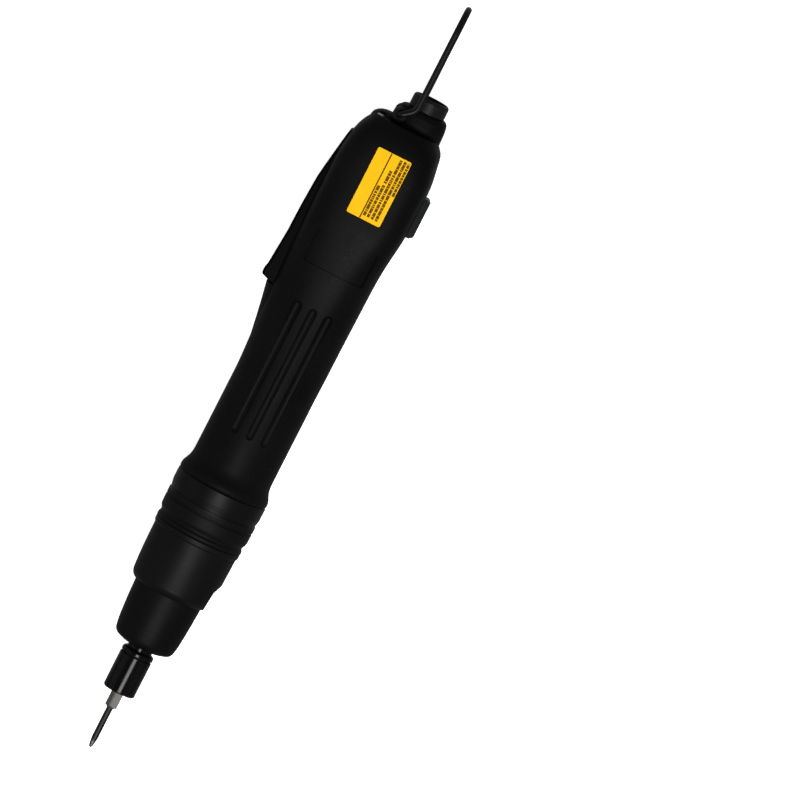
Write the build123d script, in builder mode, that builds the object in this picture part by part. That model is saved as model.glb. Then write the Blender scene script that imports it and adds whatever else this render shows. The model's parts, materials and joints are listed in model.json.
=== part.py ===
from build123d import *
import os
from math import sin, cos, tan, acos, atan2, degrees, radians, pi, sqrt

os.makedirs("parts", exist_ok=True)

# ---------------------------------------------------------------------------
# Driving dimensions, in millimetres.
# Stations run along the tool's axis from the tip of the bit (0) to the top of
# the suspension bail. The tool lies on its back: +X from tip to bail,
# +Y to the start lever, +Z out of the label face.
# ---------------------------------------------------------------------------
LENGTH = 335.0            # tip of the bit to the top of the bail
LEVER_OUT = 25.2          # lever's outermost point from the axis
KNOB_OUT = 22.5           # direction knob's outer face from the axis
REST_R = 19.0             # axis height above the surface, down to the flats on the back

X_C = LENGTH / 2
AXIS_Y = -(LEVER_OUT - KNOB_OUT) / 2
AXIS_Z = REST_R

GRIP_R = 17.2             # round grip
WALL = 2.3                # housing wall
CAVITY_R = 15.1           # bore of the grip, around gearbox and motor

SHAFT_R = 1.3             # bit shaft
HEX_AF = 5.0              # bit shank across flats
SOCKET_AF = 5.16          # hex socket across flats
SLEEVE_R = 6.8            # chuck sleeve
NECK_R = 5.3              # spindle neck and nose journal

MODULE = 0.6              # gears
RING_TEETH = 42
PLANET_TEETH = 15
SUN_TEETH = 12
BACKLASH = 0.06
PLANET_ORBIT = MODULE * (SUN_TEETH + PLANET_TEETH) / 2

NUT_TRAVEL = 1.5          # torque nut, each way
CHUCK_TRAVEL = 2.2        # chuck sleeve, towards the nose
KNOB_TRAVEL = 2.5         # direction knob, each way

PIN_X, PIN_Y = 265.0, 14.6        # lever hinge
PLUNGER_X = 247.6                 # start switch plunger
BAIL_X, BAIL_Y = 285.0, 4.6       # bail pivot
INLET_Y = -4.35                   # power inlet's axis
BAIL_WIRE = 1.35
BAIL_Z = 11.3                     # bail leg from the middle plane

SPINE = Axis((-X_C, AXIS_Y, AXIS_Z), (1, 0, 0))


def station(x, y=0.0, z=0.0):
    """Cross-section plane at a station; its x runs to +Y, its y to +Z."""
    return Plane(origin=(x - X_C, AXIS_Y + y, AXIS_Z + z), x_dir=(0, 1, 0), z_dir=(1, 0, 0))


def layer(z=0.0):
    """Plane parallel to the parting plane; its x is the station, its y the offset."""
    return Plane(origin=(-X_C, AXIS_Y, AXIS_Z + z), x_dir=(1, 0, 0), z_dir=(0, 0, 1))


def flank(y=0.0):
    """Plane across the width; its x is the station, its y the height, facing -Y."""
    return Plane(origin=(-X_C, AXIS_Y + y, AXIS_Z), x_dir=(1, 0, 0), z_dir=(0, -1, 0))


def radial(angle, r, x=0.0):
    """Plane tangent to the grip at an angle from +Z towards +Y, facing outwards."""
    a = radians(angle)
    return Plane(
        origin=(x - X_C, AXIS_Y + r * sin(a), AXIS_Z + r * cos(a)),
        x_dir=(1, 0, 0),
        z_dir=(0, sin(a), cos(a)),
    )


def outline(*points):
    """Closed polygon on the parting plane, in stations and radii."""
    with BuildSketch(layer()) as profile:
        with BuildLine():
            Polyline(*points, close=True)
        make_face()
    return profile.sketch


def gear_points(teeth, module, head, foot, thicken, phase=0.0):
    """Involute tooth outline: pitch radius plus head, minus foot."""
    pitch = module * teeth / 2
    base = pitch * cos(radians(20))
    tip, root = pitch + head, pitch - foot
    half = pi / (2 * teeth) + thicken / (2 * pitch)

    def inv(r):
        a = acos(min(1.0, base / r))
        return tan(a) - a

    low = max(root, base * 1.0005)
    flank_radii = [low + (tip - low) * i / 5 for i in range(6)]
    points = []
    for k in range(teeth):
        mid = phase + 2 * pi * k / teeth
        up = []
        if root < low:
            up.append((root, half + inv(pitch) - inv(low)))
        up += [(r, half + inv(pitch) - inv(r)) for r in flank_radii]
        for r, a in up:
            points.append((r * cos(mid - a), r * sin(mid - a)))
        for r, a in reversed(up):
            points.append((r * cos(mid + a), r * sin(mid + a)))
    return points


def gear_sketch(plane, teeth, head, foot, thicken, phase=0.0):
    with BuildSketch(plane) as profile:
        with BuildLine():
            Polyline(*gear_points(teeth, MODULE, head, foot, thicken, phase), close=True)
        make_face()
    return profile.sketch


def half_section(x, left, right, height, n, side=1, inset=0.0, sink=0.0, y=0.0):
    """Half of the housing's section: a superellipse-like quarter to each flank.
    side is +1 for the label side and -1 for the back; y moves its middle."""
    a, c, b = left - inset, right - inset, height - inset
    pull = (8 * 2 ** (-1 / n) - 4) / 3
    with BuildSketch(station(x, y)) as profile:
        with BuildLine():
            if n == 2 and a == b and c == b:
                q = b / sqrt(2)
                ThreePointArc((a, 0), (q, side * q), (0, side * b))
                ThreePointArc((0, side * b), (-q, side * q), (-c, 0))
            else:
                Bezier((a, 0), (a, side * pull * b), (pull * a, side * b), (0, side * b))
                Bezier((0, side * b), (-pull * c, side * b), (-c, side * pull * b), (-c, 0))
            if sink:
                Polyline((-c, 0), (-c, -side * sink), (a, -side * sink), (a, 0))
            else:
                Line((-c, 0), (a, 0))
        make_face()
    return profile.sketch


# station, left (lever) flank, right flank, half depth, squareness
BODY = [
    (160.0, GRIP_R, GRIP_R, GRIP_R, 2),
    (171.7, 17.55, 17.25, 17.2, 2.02),
    (181.3, 18.2, 17.3, 17.25, 2.08),
    (191.0, 19.1, 17.35, 17.35, 2.2),
    (200.6, 19.8, 17.45, 17.55, 2.35),
    (210.0, 20.0, 17.55, 17.95, 2.6),
    (222.5, 20.0, 17.9, 18.55, 3.0),
    (232.0, 20.05, 18.8, 19.0, 3.5),
    (240.0, 20.1, 19.7, 19.3, 3.9),
    (252.0, 20.1, 19.95, 19.35, 4.0),
    (262.0, 19.9, 19.85, 19.35, 4.0),
    (268.4, 19.1, 19.05, 19.2, 3.9),
    (273.2, 17.9, 18.2, 18.7, 3.6),
    (277.0, 16.2, 17.1, 17.6, 3.3),
    (278.6, 15.2, 15.9, 16.8, 3.15),
    (279.8, 14.7, 15.0, 16.0, 3.0),
    (281.2, 13.6, 14.1, 14.9, 2.9),
]
# finger stop below the lever, standing out of the left flank
STOP = [
    (174.0, 17.3, 2.0, 9.0, 2.2),
    (183.0, 18.75, 2.0, 10.5, 2.2),
    (192.0, 20.35, 2.0, 12.0, 2.2),
    (200.6, 22.1, 2.0, 13.5, 2.2),
]
CAVITY = [
    (158.0, CAVITY_R + WALL, CAVITY_R + WALL, CAVITY_R + WALL, 2),
    (171.7, 17.5, 17.25, 17.2, 2.02),
    (181.3, 18.3, 17.3, 17.25, 2.08),
    (191.0, 19.2, 17.35, 17.35, 2.2),
    (201.0, 19.8, 17.45, 17.55, 2.4),
    (210.0, 20.0, 17.55, 17.95, 2.6),
    (222.5, 20.0, 17.9, 18.55, 3.0),
    (232.0, 20.05, 18.8, 19.0, 3.5),
    (240.0, 20.1, 19.7, 19.2, 3.9),
    (252.0, 20.1, 19.95, 19.2, 4.0),
    (262.0, 19.9, 19.85, 19.2, 4.0),
    (268.4, 19.1, 19.05, 19.1, 3.9),
    (273.2, 17.9, 18.2, 18.4, 3.6),
    (278.4, 15.2, 16.0, 16.6, 3.2),
]

SHELL_PROFILE = [
    (112.0, CAVITY_R), (160.0, CAVITY_R), (160.0, GRIP_R), (130.5, GRIP_R), (127.6, 17.22),
    (126.4, 17.28), (125.3, 17.42), (124.2, 17.68), (123.3, 18.0), (122.5, 18.36), (121.7, 18.76), (120.9, 19.08),
    (120.1, 19.27), (118.8, 19.35),
    (118.3, 19.1), (118.15, 18.9), (118.15, 17.2), (112.0, 17.2),
]
GRIP_SCREWS = [(165.0, 10.5), (165.0, -10.5)]
TOP_SCREWS = [(274.2, 9.3), (274.2, -10.3)]
GROOVES = [20.4, -2.0, -24.0]


def shell_sections(table, side, inset=0.0, sink=0.0, deeper=0.0):
    """Sections of one housing half; the back is deeper before its flat is cut."""
    out = []
    for x, left, right, height, n in table:
        extra = deeper * max(0.0, min(1.0, (x - 225.0) / 15.0)) * max(0.0, min(1.0, (283.0 - x) / 12.0))
        out.append(half_section(x, left, right, height + extra, n, side, inset, sink))
    return out


def boss_sections(side):
    """Sections of one half of the rounded neck boss."""
    rows = [(278.0, 11.1, 9.6), (284.5, 10.9, 9.55), (287.2, 10.55, 9.35), (288.4, 10.15, 9.0), (289.15, 9.55, 8.5), (289.5, 8.9, 8.0)]
    return [half_section(x, w, w, h, 2.5, side, y=-3.95) for x, w, h in rows]


def ledge_sections(side):
    """Sections of one half of the low shoulder beside the boss, where the ground screw sits."""
    rows = [(277.0, 7.4, 11.5), (279.6, 7.1, 10.5), (281.0, 6.6, 9.2), (282.0, 5.6, 7.6), (282.8, 4.2, 5.6), (283.3, 2.6, 3.6)]
    return [half_section(x, w, w, h, 2.6, side, y=8.0) for x, w, h in rows]


def groove_tool(angle):
    """Round-bottomed cutter of one grip groove, at an angle from +Z towards +Y."""
    a = radians(angle)
    y, z = 18.6 * sin(a), 18.6 * cos(a)
    with BuildPart() as tool:
        with BuildSketch(station(143.2, y, z)):
            Circle(2.2)
        extrude(amount=55.6)
        for x in (143.2, 198.8):
            with Locations((x - X_C, AXIS_Y + y, AXIS_Z + z)):
                Sphere(2.2)
    return tool.part


# --- cutter for the shallow recess panel on the label side ------------------
with BuildPart() as panel_core:
    loft(sections=shell_sections(BODY, 1, inset=0.45))

with BuildPart() as panel_cut:
    with BuildSketch(layer(6.0)):
        with Locations((223.9, -0.4)):
            RectangleRounded(14.9, 26.4, 0.8)
    extrude(amount=16)
    add(panel_core.part, mode=Mode.SUBTRACT)


# --- front housing shell (label side) ---------------------------------------
with BuildPart() as front_housing_shell:
    revolve(outline(*SHELL_PROFILE), axis=SPINE, revolution_arc=180)
    loft(sections=shell_sections(BODY, 1))
    loft(sections=shell_sections(STOP, 1))
    # ledge beside the boss
    loft(sections=ledge_sections(1), ruled=True)
    # neck boss that carries the inlet and the bail
    loft(sections=boss_sections(1), ruled=True)
    with BuildSketch(layer(4.0)):
        with Locations((BAIL_X, BAIL_Y)):
            Circle(3.0)
    extrude(amount=5.7)
    # cavity
    loft(sections=shell_sections(CAVITY, 1, inset=WALL, sink=0.5), mode=Mode.SUBTRACT)
    # motor ribs
    revolve(outline((127.0, 13.9), (129.0, 13.9), (129.0, 15.4), (127.0, 15.4)), axis=SPINE, revolution_arc=180)
    revolve(outline((152.0, 13.9), (154.0, 13.9), (154.0, 15.4), (152.0, 15.4)), axis=SPINE, revolution_arc=180)
    # screw bosses with pilot holes
    with BuildSketch(layer(0)):
        with Locations(*GRIP_SCREWS):
            Circle(3.0)
    extrude(amount=9.3)
    with BuildSketch(layer(0)):
        with Locations(*TOP_SCREWS):
            Circle(3.0)
    extrude(amount=13.5)
    with BuildSketch(layer(0)):
        with Locations(*GRIP_SCREWS, *TOP_SCREWS):
            Circle(1.25)
    extrude(amount=8.5, mode=Mode.SUBTRACT)
    # lever pin block
    with BuildSketch(layer(6.3)):
        with Locations((265.0, 14.0)):
            Rectangle(8.0, 8.6)
    extrude(amount=5.0)
    with BuildSketch(layer(6.3)):
        with Locations((PIN_X, PIN_Y)):
            Circle(1.5)
    extrude(amount=3.4, mode=Mode.SUBTRACT)
    # lever spring post
    with BuildSketch(layer(0)):
        with Locations((222.0, 8.6)):
            Rectangle(6.0, 2.2)
    extrude(amount=16.5)
    # slot for the lever
    with BuildSketch(layer(0)):
        with Locations((235.7, 22.0)):
            Rectangle(70.0, 12.0)
    extrude(amount=6.0, mode=Mode.SUBTRACT)
    # slot for the direction knob's stem
    with BuildSketch(layer(0)):
        with Locations((250.5, -19.0)):
            Rectangle(10.6, 8.0)
    extrude(amount=2.3, mode=Mode.SUBTRACT)
    # pocket that the knob runs in
    with BuildSketch(layer(0)):
        with Locations((250.6, -22.55)):
            Rectangle(23.8, 8.0)
    extrude(amount=4.95, mode=Mode.SUBTRACT)
    # seat of the inlet
    with BuildSketch(station(276.0, INLET_Y)):
        Circle(6.85)
    extrude(amount=14.0, mode=Mode.SUBTRACT)
    # bail pivot hole
    with BuildSketch(layer(7.4)):
        with Locations((BAIL_X, BAIL_Y)):
            Circle(1.42)
    extrude(amount=4.0, mode=Mode.SUBTRACT)
    # ground screw hole
    with BuildSketch(station(275.0, 11.2, 7.0)):
        Circle(0.85)
    extrude(amount=12.0, mode=Mode.SUBTRACT)
    with BuildSketch(station(280.4, 11.2, 7.0)):
        Circle(1.9)
    extrude(amount=4.0, mode=Mode.SUBTRACT)
    # label seat
    with BuildSketch(layer(18.75)):
        with Locations((256.4, -1.3)):
            RectangleRounded(29.4, 15.2, 0.9)
    extrude(amount=2.0, mode=Mode.SUBTRACT)
    # recess panel
    add(panel_cut.part, mode=Mode.SUBTRACT)
    # grip grooves
    for angle in GROOVES:
        add(groove_tool(angle), mode=Mode.SUBTRACT)

# --- rear housing shell ------------------------------------------------------
with BuildPart() as rear_housing_shell:
    revolve(outline(*SHELL_PROFILE), axis=SPINE, revolution_arc=-180)
    loft(sections=shell_sections(BODY, -1, deeper=0.55))
    loft(sections=shell_sections(STOP, -1))
    loft(sections=ledge_sections(-1), ruled=True)
    # cheek behind the lever's toe
    with BuildSketch(layer(-6.0)):
        with BuildLine():
            Polyline((199.6, 16.5), (205.0, 16.5), (205.0, 21.0), (203.6, 21.8), (199.6, 21.6), close=True)
        make_face()
    extrude(amount=-3.6)
    # flat back that the tool rests on
    with BuildSketch(layer(-REST_R)):
        with Locations((205.0, 0)):
            Rectangle(190.0, 60.0)
    extrude(amount=-6.0, mode=Mode.SUBTRACT)
    loft(sections=boss_sections(-1), ruled=True)
    with BuildSketch(layer(-4.0)):
        with Locations((BAIL_X, BAIL_Y)):
            Circle(3.0)
    extrude(amount=-5.7)
    loft(sections=shell_sections(CAVITY, -1, inset=WALL, sink=0.5), mode=Mode.SUBTRACT)
    revolve(outline((127.0, 13.9), (129.0, 13.9), (129.0, 15.4), (127.0, 15.4)), axis=SPINE, revolution_arc=-180)
    revolve(outline((152.0, 13.9), (154.0, 13.9), (154.0, 15.4), (152.0, 15.4)), axis=SPINE, revolution_arc=-180)
    with BuildSketch(layer(0)):
        with Locations(*GRIP_SCREWS):
            Circle(3.6)
    extrude(amount=-9.3)
    with BuildSketch(layer(0)):
        with Locations(*TOP_SCREWS):
            Circle(3.6)
    extrude(amount=-13.5)
    with BuildSketch(layer(0)):
        with Locations(*GRIP_SCREWS, *TOP_SCREWS):
            Circle(1.5)
    extrude(amount=-7.5, mode=Mode.SUBTRACT)
    with BuildSketch(layer(-7.0)):
        with Locations(*GRIP_SCREWS, *TOP_SCREWS):
            Circle(2.6)
    extrude(amount=-16.0, mode=Mode.SUBTRACT)
    with BuildSketch(layer(-6.3)):
        with Locations((265.0, 14.0)):
            Rectangle(8.0, 8.6)
    extrude(amount=-5.0)
    with BuildSketch(layer(-6.3)):
        with Locations((PIN_X, PIN_Y)):
            Circle(1.5)
    extrude(amount=-3.4, mode=Mode.SUBTRACT)
    with BuildSketch(layer(0)):
        with Locations((222.0, 8.6)):
            Rectangle(6.0, 2.2)
    extrude(amount=-16.5)
    # posts that carry the control board
    with BuildSketch(layer(-8.4)):
        with Locations((181.0, -8.0)):
            Circle(2.4)
    extrude(amount=-5.0)
    with BuildSketch(layer(-8.4)):
        with Locations((231.0, 2.5)):
            Circle(2.4)
    extrude(amount=-8.9)
    with BuildSketch(layer(-8.4)):
        with Locations((181.0, -8.0), (231.0, 2.5)):
            Circle(0.9)
    extrude(amount=-4.6, mode=Mode.SUBTRACT)
    with BuildSketch(layer(0)):
        with Locations((235.7, 22.0)):
            Rectangle(70.0, 12.0)
    extrude(amount=-6.0, mode=Mode.SUBTRACT)
    with BuildSketch(layer(0)):
        with Locations((250.5, -19.0)):
            Rectangle(10.6, 8.0)
    extrude(amount=-2.3, mode=Mode.SUBTRACT)
    with BuildSketch(layer(0)):
        with Locations((250.6, -22.55)):
            Rectangle(23.8, 8.0)
    extrude(amount=-4.95, mode=Mode.SUBTRACT)
    with BuildSketch(station(276.0, INLET_Y)):
        Circle(6.85)
    extrude(amount=14.0, mode=Mode.SUBTRACT)
    with BuildSketch(layer(-7.4)):
        with Locations((BAIL_X, BAIL_Y)):
            Circle(1.42)
    extrude(amount=-4.0, mode=Mode.SUBTRACT)
    for angle in GROOVES:
        add(groove_tool(180.0 - angle), mode=Mode.SUBTRACT)

# --- housing screws, from the back -------------------------------------------
with BuildPart() as housing_screws:
    with BuildSketch(layer(-7.0)):
        with Locations(*GRIP_SCREWS, *TOP_SCREWS):
            Circle(2.4)
    extrude(amount=-2.0)
    with BuildSketch(layer(-7.0)):
        with Locations(*GRIP_SCREWS, *TOP_SCREWS):
            Circle(1.2)
    extrude(amount=15.0)
    with BuildSketch(layer(-9.0)):
        with Locations(*GRIP_SCREWS, *TOP_SCREWS):
            Rectangle(2.9, 0.7)
            Rectangle(0.7, 2.9)
    extrude(amount=1.1, mode=Mode.SUBTRACT)

# --- gearbox collar ----------------------------------------------------------
with BuildPart() as gearbox_collar:
    revolve(
        outline(
            (96.7, 8.0), (96.7, 18.5), (97.0, 18.7), (98.0, 18.65), (98.9, 18.15), (99.7, 18.1), (100.4, 18.5),
            (101.2, 18.9), (101.8, 19.05), (105.7, 19.15), (105.95, 18.85), (106.35, 18.85),
            (106.6, 19.15), (109.1, 19.15), (109.35, 18.8), (109.8, 18.8), (112.4, 19.35), (117.6, 19.35),
            (118.0, 19.1), (118.1, 18.9), (118.1, 17.3), (110.0, 17.3), (110.0, 15.05), (100.3, 15.05),
            (100.3, 7.0), (98.0, 7.0), (98.0, 8.0),
        ),
        axis=SPINE,
    )
    # flat on the back
    with BuildSketch(layer(-REST_R)):
        with Locations((107.4, 0)):
            Rectangle(30.0, 60.0)
    extrude(amount=-3.0, mode=Mode.SUBTRACT)
    with BuildSketch(station(100.3)):
        with PolarLocations(11.5, 3, start_angle=90):
            Circle(1.05)
    extrude(amount=-4.0, mode=Mode.SUBTRACT)
    with BuildSketch(station(100.3)):
        with PolarLocations(11.5, 3, start_angle=90):
            Circle(2.0)
    extrude(amount=-1.5, mode=Mode.SUBTRACT)

# --- screws of the clutch cover ------------------------------------------------
with BuildPart() as cover_screws:
    with BuildSketch(station(98.8)):
        with PolarLocations(11.5, 3, start_angle=90):
            Circle(1.85)
    extrude(amount=1.4)
    with BuildSketch(station(98.8)):
        with PolarLocations(11.5, 3, start_angle=90):
            Circle(0.95)
    extrude(amount=-5.2)

# --- clutch cover (upper sleeve) ----------------------------------------------
with BuildPart() as clutch_cover:
    revolve(
        outline(
            (70.1, 14.95), (70.1, 15.3), (70.5, 15.9), (71.2, 16.5), (72.0, 16.95), (72.9, 17.25), (77.4, 17.6), (82.2, 17.8),
            (87.0, 17.92), (92.0, 18.0), (93.9, 18.05), (94.5, 18.5), (96.2, 18.6), (96.5, 18.4), (96.5, 8.0), (92.8, 8.0), (92.8, 14.2),
            (76.0, 14.2), (76.0, 14.95),
        ),
        axis=SPINE,
    )
    # index flat on the knob's side
    with BuildSketch(layer(-12.0)):
        with BuildLine():
            Polyline((68.0, -15.35), (79.0, -16.25), (83.4, -18.2), (83.4, -22.0), (68.0, -22.0), close=True)
        make_face()
    extrude(amount=24.0, mode=Mode.SUBTRACT)
    with BuildSketch(station(96.5)):
        with PolarLocations(11.5, 3, start_angle=90):
            Circle(1.0)
    extrude(amount=-3.2, mode=Mode.SUBTRACT)

# --- torque nut (nose) ----------------------------------------------------------
with BuildPart() as torque_nut:
    revolve(
        outline(
            (45.7, 7.6), (46.0, 7.3), (49.2, 7.3), (49.2, 8.0), (57.2, 8.0), (57.2, 10.0), (80.5, 10.0), (80.5, 13.6),
            (80.2, 13.9), (73.4, 13.9), (73.0, 14.56), (70.1, 14.54), (67.7, 14.42), (62.9, 14.22), (58.0, 13.92),
            (55.6, 13.72), (52.4, 13.48), (50.8, 13.24), (49.3, 12.98), (48.5, 12.76), (47.9, 12.48), (47.2, 11.98),
            (46.6, 11.0), (45.9, 9.0), (45.7, 8.2),
        ),
        axis=SPINE,
    )

with BuildPart() as nose_bush:
    revolve(outline((49.3, 5.38), (57.1, 5.38), (57.1, 8.0), (49.3, 8.0)), axis=SPINE)

with BuildPart() as spring_seat:
    revolve(outline((57.6, 5.75), (59.7, 5.75), (59.7, 9.6), (57.6, 9.6)), axis=SPINE)

with BuildPart() as thrust_ring:
    revolve(outline((80.1, 4.95), (82.6, 4.95), (82.6, 9.4), (80.1, 9.4)), axis=SPINE)

with BuildPart() as torque_spring:
    with BuildLine():
        coil = Helix(pitch=3.3, height=17.4, radius=8.1, center=(60.9 - X_C, AXIS_Y, AXIS_Z), direction=(1, 0, 0))
    with BuildSketch(Plane(origin=coil @ 0, z_dir=coil % 0)):
        Circle(0.95)
    sweep(path=coil, is_frenet=True)

# --- spindle with its hex socket -------------------------------------------------
with BuildPart() as spindle:
    revolve(
        outline(
            (25.8, 0), (25.8, 4.0), (26.2, 4.4), (28.9, 4.4), (28.9, 3.9), (29.6, 3.9), (29.6, 4.4), (37.0, 4.4),
            (37.0, NECK_R), (58.0, NECK_R), (58.0, 4.5), (87.0, 4.5), (87.4, 2.0), (97.0, 2.0), (97.0, 0),
        ),
        axis=SPINE,
    )
    with BuildSketch(station(25.8)):
        RegularPolygon(SOCKET_AF / 2, 6, major_radius=False, rotation=30)
    extrude(amount=17.2, mode=Mode.SUBTRACT)
    # holes of the two locking balls
    with BuildSketch(layer(0)):
        with Locations((31.4, 0)):
            Circle(0.8)
    extrude(amount=6.0, both=True, mode=Mode.SUBTRACT)

with BuildPart() as chuck_balls:
    for side in (1, -1):
        with Locations((31.4 - X_C, AXIS_Y, AXIS_Z + side * 3.68)):
            Sphere(0.72)

with BuildPart() as chuck_snap_ring:
    revolve(outline((28.95, 3.95), (29.55, 3.95), (29.55, 5.1), (28.95, 5.1)), axis=SPINE)
    with BuildSketch(station(28.0, 0, -4.5)):
        Rectangle(2.0, 3.0)
    extrude(amount=2.5, mode=Mode.SUBTRACT)

with BuildPart() as chuck_spring:
    with BuildLine():
        coil = Helix(pitch=1.1, height=2.9, radius=4.9, center=(33.5 - X_C, AXIS_Y, AXIS_Z), direction=(1, 0, 0))
    with BuildSketch(Plane(origin=coil @ 0, z_dir=coil % 0)):
        Circle(0.33)
    sweep(path=coil, is_frenet=True)

with BuildPart() as chuck_sleeve:
    revolve(
        outline(
            (25.2, 5.5), (25.2, 6.3), (25.8, SLEEVE_R), (40.9, SLEEVE_R), (41.0, 6.1), (41.6, 6.1), (41.7, SLEEVE_R),
            (42.8, SLEEVE_R), (43.4, 6.55), (43.9, 6.0), (43.9, 5.42), (33.0, 5.42), (33.0, 4.5), (29.9, 4.5), (29.9, 5.5),
        ),
        axis=SPINE,
    )

# --- bit -----------------------------------------------------------------------
with BuildPart() as bit:
    with BuildSketch(station(18.4)):
        RegularPolygon(HEX_AF / 2, 6, major_radius=False, rotation=30)
    extrude(amount=24.0)
    # turned ends of the shank, and its locking groove
    revolve(
        outline((18.4, 2.45), (19.2, 2.92), (18.4, 4.0)), axis=SPINE, mode=Mode.SUBTRACT
    )
    revolve(
        outline((41.8, 2.92), (42.4, 2.3), (42.6, 4.0)), axis=SPINE, mode=Mode.SUBTRACT
    )
    revolve(
        outline((30.2, 2.2), (32.6, 2.2), (32.9, 3.4), (29.9, 3.4)), axis=SPINE, mode=Mode.SUBTRACT
    )
    revolve(
        outline((0, 0), (0, 0.45), (0.9, 0.85), (4.2, SHAFT_R), (17.6, SHAFT_R), (18.6, 2.2), (18.6, 0)), axis=SPINE
    )
    # cross recess wings: four flutes
    for k in range(4):
        a = radians(45 + 90 * k)
        flute = Plane(
            origin=(0.0 - X_C, AXIS_Y + 0.72 * cos(a), AXIS_Z + 0.72 * sin(a)),
            x_dir=(0, -sin(a), cos(a)),
            z_dir=(1.0, 0.2 * cos(a), 0.2 * sin(a)),
        )
        with BuildSketch(flute):
            with Locations((0, -0.46)):
                Circle(0.46)
        extrude(amount=3.6, mode=Mode.SUBTRACT)

# --- clutch ---------------------------------------------------------------------
with BuildPart() as clutch_driven_disc:
    revolve(outline((83.0, 4.5), (87.0, 4.5), (87.0, 11.6), (86.6, 12.0), (83.4, 12.0), (83.0, 11.6)), axis=SPINE)
    with BuildSketch(station(85.5)):
        with PolarLocations(8.5, 8):
            Circle(1.28)
    extrude(amount=3.0, mode=Mode.SUBTRACT)

with BuildPart() as clutch_balls:
    for k in range(8):
        a = radians(45 * k)
        with Locations((88.1 - X_C, AXIS_Y + 8.5 * cos(a), AXIS_Z + 8.5 * sin(a))):
            Sphere(1.22)

with BuildPart() as clutch_drive_disc:
    revolve(outline((89.1, 4.05), (92.3, 4.05), (92.3, 11.6), (89.5, 11.6), (89.1, 11.2)), axis=SPINE)
    # raceway of the balls
    revolve(outline((88.9, 7.2), (89.65, 7.6), (89.65, 9.4), (88.9, 9.8)), axis=SPINE, mode=Mode.SUBTRACT)

# --- output bearing ---------------------------------------------------------------
with BuildPart() as output_bearing_outer_race:
    revolve(outline((93.0, 6.9), (97.9, 6.9), (97.9, 7.95), (93.0, 7.95)), axis=SPINE)

with BuildPart() as output_bearing_inner_race:
    revolve(outline((93.0, 4.02), (97.9, 4.02), (97.9, 5.1), (93.0, 5.1)), axis=SPINE)

with BuildPart() as output_bearing_balls:
    for k in range(8):
        a = radians(45 * k + 22.5)
        with Locations((95.45 - X_C, AXIS_Y + 6.0 * cos(a), AXIS_Z + 6.0 * sin(a))):
            Sphere(0.86)

# --- gearbox ------------------------------------------------------------------------
with BuildPart() as ring_gear:
    with BuildSketch(station(100.4)):
        Circle(15.0)
    extrude(amount=17.6)
    extrude(
        gear_sketch(station(100.4), RING_TEETH, MODULE * 1.25, MODULE * 0.65, BACKLASH),
        amount=17.6,
        mode=Mode.SUBTRACT,
    )

with BuildPart() as output_carrier:
    revolve(
        outline((89.2, 2.06), (97.6, 2.06), (97.6, 0), (102.6, 0), (102.6, 11.5), (100.7, 11.5), (100.7, 4.0), (89.2, 4.0)),
        axis=SPINE,
    )
    with BuildSketch(station(102.6)):
        with PolarLocations(PLANET_ORBIT, 3):
            Circle(1.22)
    extrude(amount=6.0)

with BuildPart() as first_carrier:
    with BuildSketch(station(109.2)):
        Circle(11.5)
    extrude(amount=2.0)
    extrude(gear_sketch(station(102.9), SUN_TEETH, MODULE * 0.8, MODULE * 1.2, -BACKLASH), amount=6.3)
    with BuildSketch(station(111.2)):
        with PolarLocations(PLANET_ORBIT, 3):
            Circle(1.22)
    extrude(amount=6.0)

planets = {}
for stage, x0 in (("output", 102.9), ("first", 111.5)):
    for tag, beta in (("a", 0), ("b", 120), ("c", 240)):
        b = radians(beta)
        plane = station(x0, PLANET_ORBIT * cos(b), PLANET_ORBIT * sin(b))
        with BuildPart() as planet:
            extrude(
                gear_sketch(plane, PLANET_TEETH, MODULE * 0.8, MODULE * 1.15, -BACKLASH, b),
                amount=5.5,
            )
            with BuildSketch(plane):
                Circle(1.3)
            extrude(amount=5.5, mode=Mode.SUBTRACT)
        planets[stage + "_planet_" + tag] = planet.part

with BuildPart() as motor_pinion:
    extrude(gear_sketch(station(111.6), SUN_TEETH, MODULE * 0.8, MODULE * 1.2, -BACKLASH), amount=6.2)
    with BuildSketch(station(111.6)):
        Circle(1.15)
    extrude(amount=6.2, mode=Mode.SUBTRACT)

# --- motor ---------------------------------------------------------------------------
with BuildPart() as motor_mount_plate:
    revolve(outline((118.2, 5.1), (121.3, 5.1), (121.3, 15.0), (118.2, 15.0)), axis=SPINE)
    with BuildSketch(station(118.2)):
        with PolarLocations(8.0, 2, start_angle=90):
            Circle(1.3)
    extrude(amount=4.0, mode=Mode.SUBTRACT)
    with BuildSketch(station(118.2)):
        with PolarLocations(8.0, 2, start_angle=90):
            Circle(2.2)
    extrude(amount=1.4, mode=Mode.SUBTRACT)

with BuildPart() as motor_screws:
    with BuildSketch(station(119.6)):
        with PolarLocations(8.0, 2, start_angle=90):
            Circle(2.1)
    extrude(amount=-1.3)
    with BuildSketch(station(119.6)):
        with PolarLocations(8.0, 2, start_angle=90):
            Circle(1.2)
    extrude(amount=4.2)

with BuildPart() as motor_can:
    revolve(
        outline(
            (119.4, 1.9), (119.4, 5.0), (121.4, 5.0), (121.4, 13.2), (122.1, 13.85), (157.0, 13.85), (157.0, 12.85),
            (122.6, 12.85), (122.6, 5.0), (124.2, 5.0), (124.2, 1.9), (124.2, 1.22), (119.4, 1.22),
        ),
        axis=SPINE,
    )
    with BuildSketch(station(121.4)):
        with PolarLocations(8.0, 2, start_angle=90):
            Circle(1.3)
    extrude(amount=2.0, mode=Mode.SUBTRACT)

with BuildPart() as motor_magnets:
    with BuildSketch(station(127.0)):
        Circle(12.8)
        Circle(11.3, mode=Mode.SUBTRACT)
        Rectangle(30.0, 11.0, mode=Mode.SUBTRACT)
    extrude(amount=23.0)

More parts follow.
